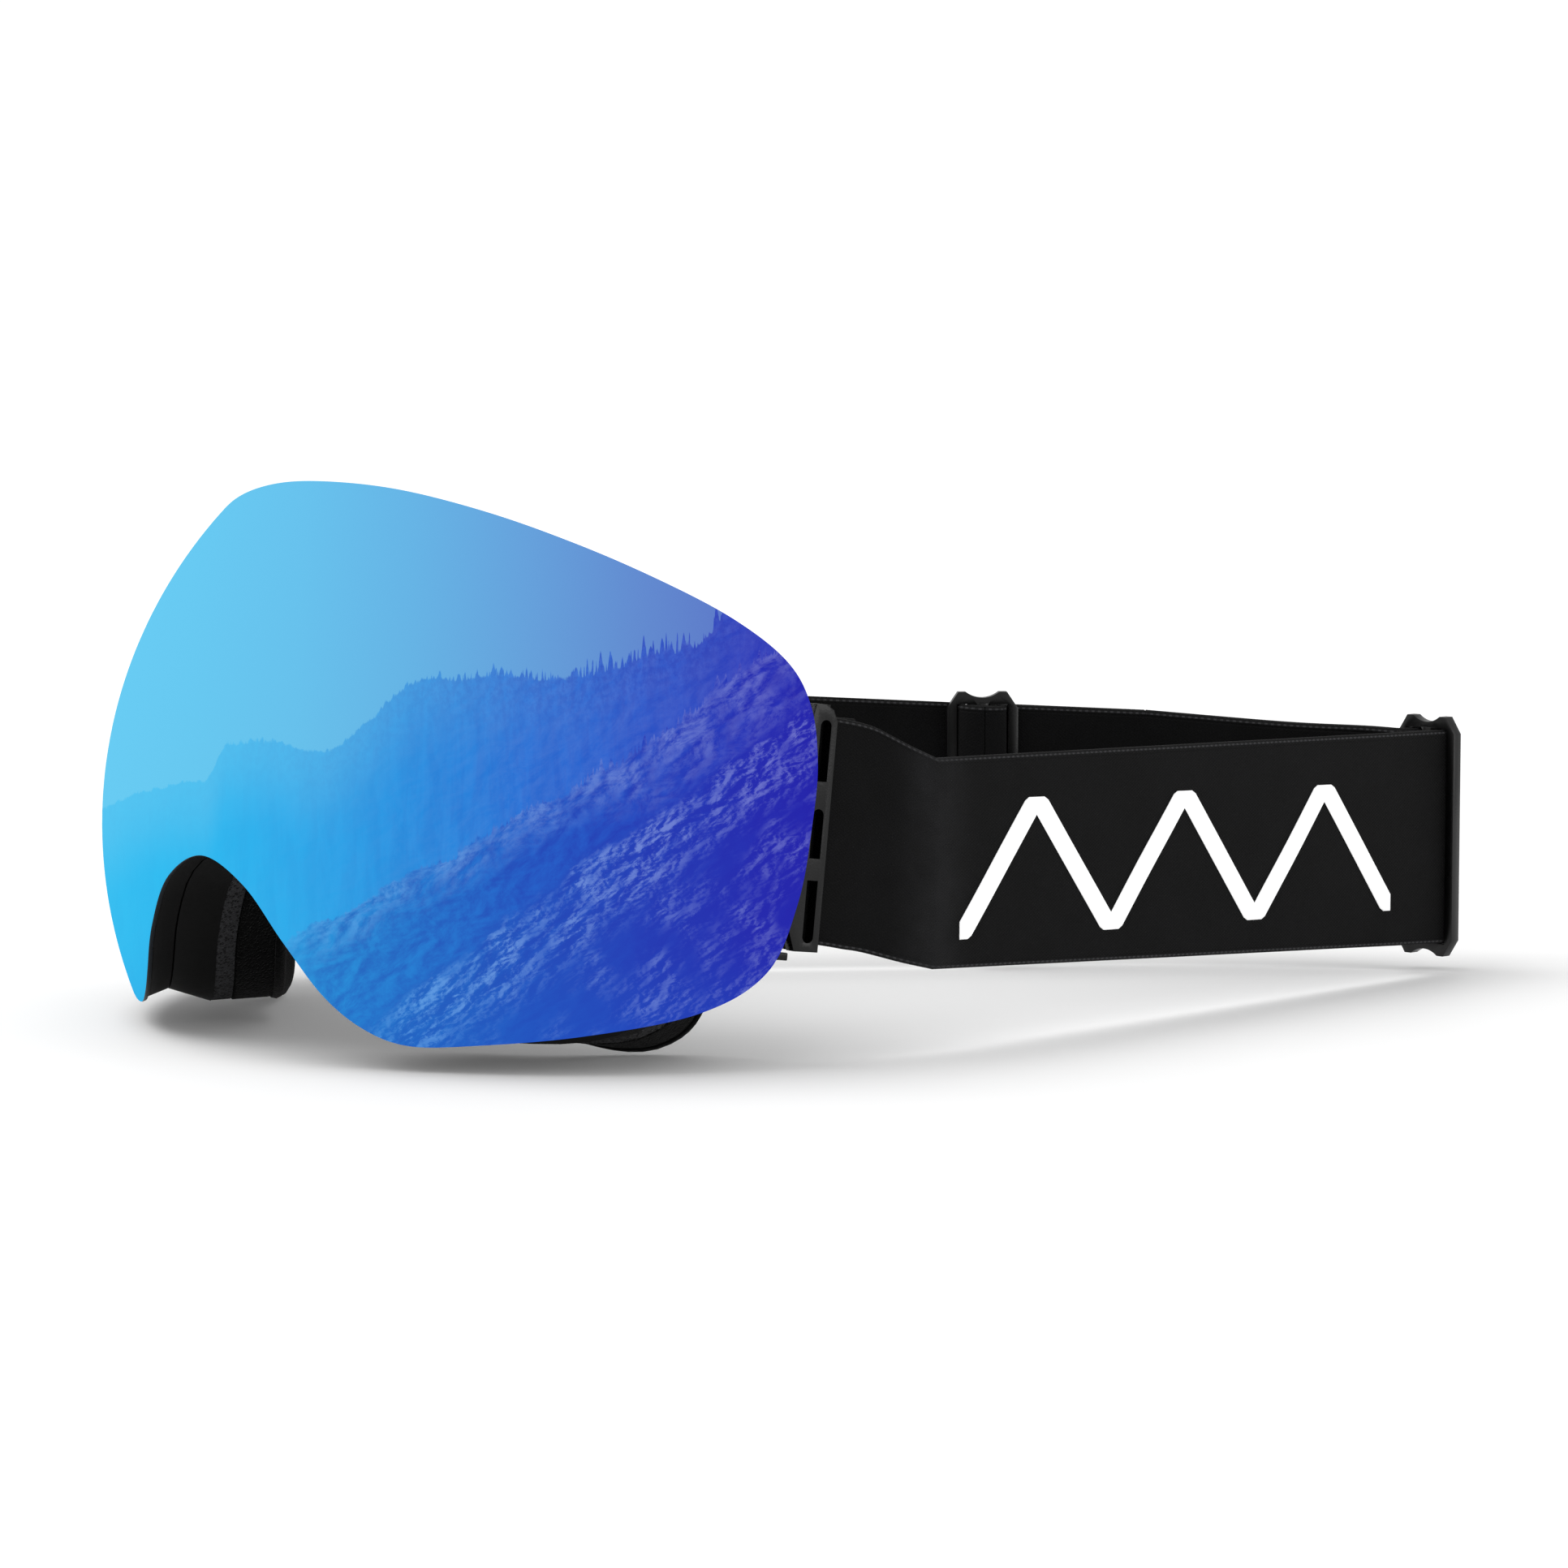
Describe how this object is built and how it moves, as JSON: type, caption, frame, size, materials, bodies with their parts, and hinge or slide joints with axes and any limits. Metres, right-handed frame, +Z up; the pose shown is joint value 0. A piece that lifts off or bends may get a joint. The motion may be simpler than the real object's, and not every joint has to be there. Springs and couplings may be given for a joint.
{
  "type": "ski goggles",
  "caption": "Ski goggles with a mirrored spherical magnetic lens, padded frame, hinged strap outriggers and an elastic strap with two sliders",
  "frame": {"origin": "Middle of the face opening, between the wearer's eyes; 10 mm above the level of the lens sphere's centre", "axes": "+Z up, lens faces -Y, wearer's left is +X. The goggles lean back 7 degrees as they stand on a table, strap behind in +Y"},
  "size_m": [0.1752, 0.2599, 0.1046],
  "materials": {
    "lens_mirror": "mirrored blue coating",
    "lens_clear": "clear, anti-fog",
    "gasket_foam": "closed-cell foam",
    "frame_plastic": "fine matt",
    "magnet_metal": "nickel plated",
    "vent_foam": "open-cell foam",
    "support_foam": "firm grey foam",
    "face_foam": "soft dark foam",
    "fleece": "brushed fleece",
    "outrigger_plastic": "satin",
    "pin_steel": "ground",
    "webbing": "woven elastic",
    "slider_plastic": "smooth black",
    "print_white": "matt white print"
  },
  "bodies": {
    "frame": {"frame": "frame_plastic", "frame_magnets": "magnet_metal", "top_vent_foam": "vent_foam", "bottom_vent_foam": "vent_foam", "foam_support_layer": "support_foam", "foam_comfort_layer": "face_foam", "fleece_lining": "fleece", "hinge_bracket_right": "frame_plastic", "hinge_bracket_left": "frame_plastic", "outrigger_pin_right": "pin_steel", "outrigger_pin_left": "pin_steel", "latch_pin_right": "pin_steel", "latch_pin_left": "pin_steel", "strap_flex_right": "webbing", "strap_flex_left": "webbing"},
    "lens": {"outer_lens": "lens_mirror", "inner_lens": "lens_clear", "lens_gasket": "gasket_foam", "lens_carrier": "frame_plastic", "lens_magnets": "magnet_metal"},
    "outrigger_right": {"outrigger_right": "outrigger_plastic", "strap_end_right": "webbing"},
    "outrigger_left": {"outrigger_left": "outrigger_plastic", "strap_end_left": "webbing"},
    "lens_latch_right": {"lens_latch_right": "outrigger_plastic"},
    "lens_latch_left": {"lens_latch_left": "outrigger_plastic"},
    "strap": {"strap_right": "webbing", "strap_left": "webbing", "strap_left_slack": "webbing", "strap_left_tail": "webbing", "strap_print": "print_white"},
    "slider_right": {"slider_right": "slider_plastic"},
    "slider_left": {"slider_left": "slider_plastic", "strap_right_tail": "webbing"}
  },
  "joints": [
    {"name": "lens_release", "type": "slide", "parent": "frame", "child": "lens", "axis": [0, -0.9925, 0.1219], "range_m": [0, 0.045]},
    {"name": "outrigger_right_swing", "type": "hinge", "parent": "frame", "child": "outrigger_right", "pos_m": [0.0796, -0.0274, -0.0057], "axis": [0, 0.1219, 0.9925], "range_deg": [-6, 12], "deforming": ["strap_flex_right"]},
    {"name": "outrigger_left_swing", "type": "hinge", "parent": "frame", "child": "outrigger_left", "pos_m": [-0.0796, -0.0274, -0.0057], "axis": [0, -0.1219, -0.9925], "range_deg": [-6, 12], "deforming": ["strap_flex_left"]},
    {"name": "latch_right_turn", "type": "hinge", "parent": "frame", "child": "lens_latch_right", "pos_m": [0.0764, -0.03087, -0.02492], "axis": [0, 0.1219, 0.9925], "range_deg": [-8, 15]},
    {"name": "latch_left_turn", "type": "hinge", "parent": "frame", "child": "lens_latch_left", "pos_m": [-0.0764, -0.03087, -0.02492], "axis": [0, -0.1219, -0.9925], "range_deg": [-8, 15]},
    {"name": "strap_lift", "type": "hinge", "parent": "frame", "child": "strap", "pos_m": [0, -0.0002, -0.0056], "axis": [1, 0, 0], "range_deg": [-15, 20], "deforming": ["strap_flex_right", "strap_flex_left"]},
    {"name": "slider_right_turn", "type": "hinge", "parent": "strap", "child": "slider_right", "pos_m": [0.078, 0.16378, -0.01872], "axis": [0, 0, 1], "range_deg": [-8, 8]},
    {"name": "slider_left_slide", "type": "slide", "parent": "strap", "child": "slider_left", "axis": [0.6258, 0.7784, -0.0499], "range_m": [-0.02, 0.02], "deforming": ["strap_left_slack", "strap_right_tail"]}
  ]
}
